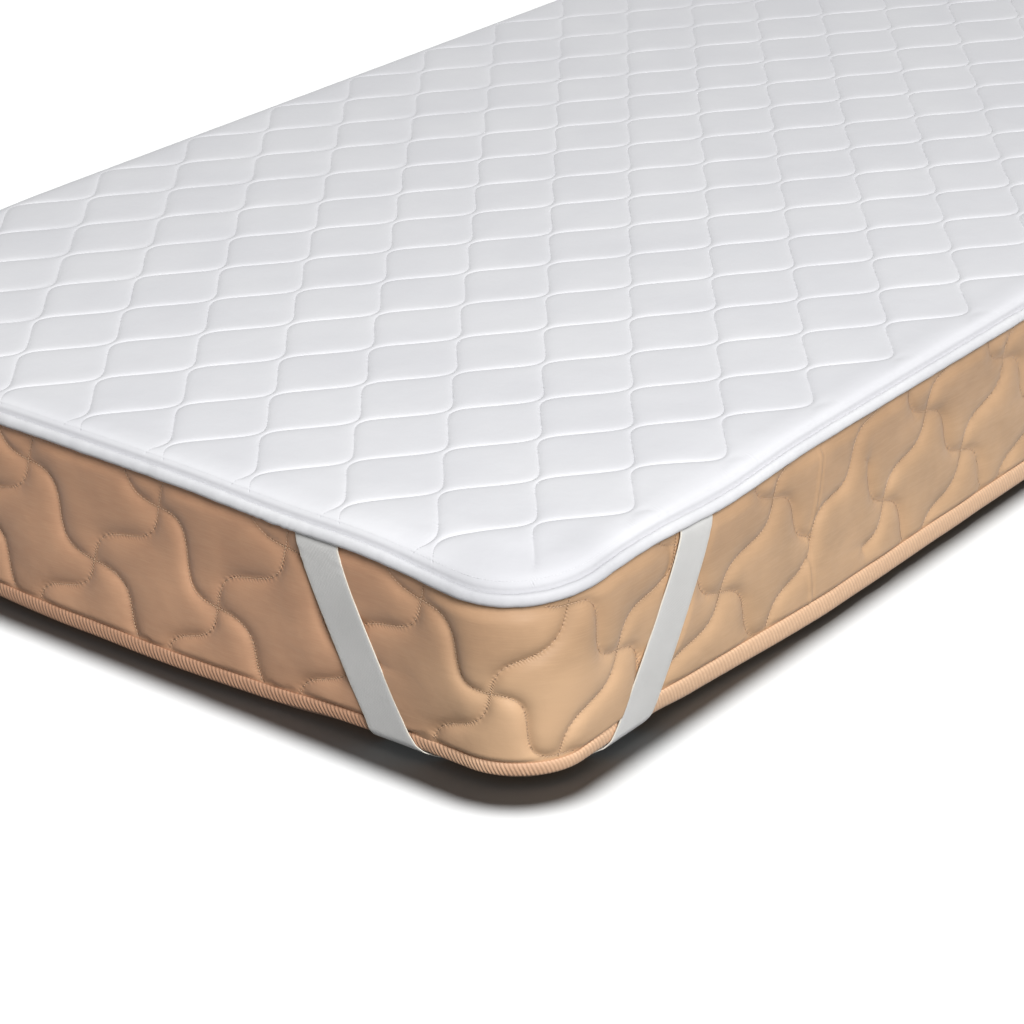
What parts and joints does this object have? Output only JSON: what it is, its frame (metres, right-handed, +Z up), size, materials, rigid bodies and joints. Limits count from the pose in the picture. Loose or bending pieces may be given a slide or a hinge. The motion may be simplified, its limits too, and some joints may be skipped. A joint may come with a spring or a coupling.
{
  "type": "mattress topper on a mattress",
  "caption": "Quilted mattress topper with a bound edge and an elastic across each corner, fitted on a plain single mattress that it covers.",
  "frame": {"origin": "on the floor under the middle of the mattress", "axes": "+Z up, +Y along the length of the mattress, +X across it; the corner that shows best is at +X -Y"},
  "size_m": [0.9132, 2.0132, 0.1961],
  "materials": {
    "ticking": "tan satin ticking with a soft sheen, quilted on the sides",
    "quilted_cotton": "matt white cotton, quilted in ogees",
    "white_tape": "smooth white binding tape, sewn along its inner edge",
    "woven_elastic": "light grey woven elastic with a pale selvedge at each edge"
  },
  "bodies": {
    "root": {"mattress": "ticking", "topper_panel": "quilted_cotton", "topper_binding": "white_tape", "elastic_front_right": "woven_elastic", "elastic_front_left": "woven_elastic", "elastic_back_right": "woven_elastic", "elastic_back_left": "woven_elastic"}
  },
  "joints": []
}
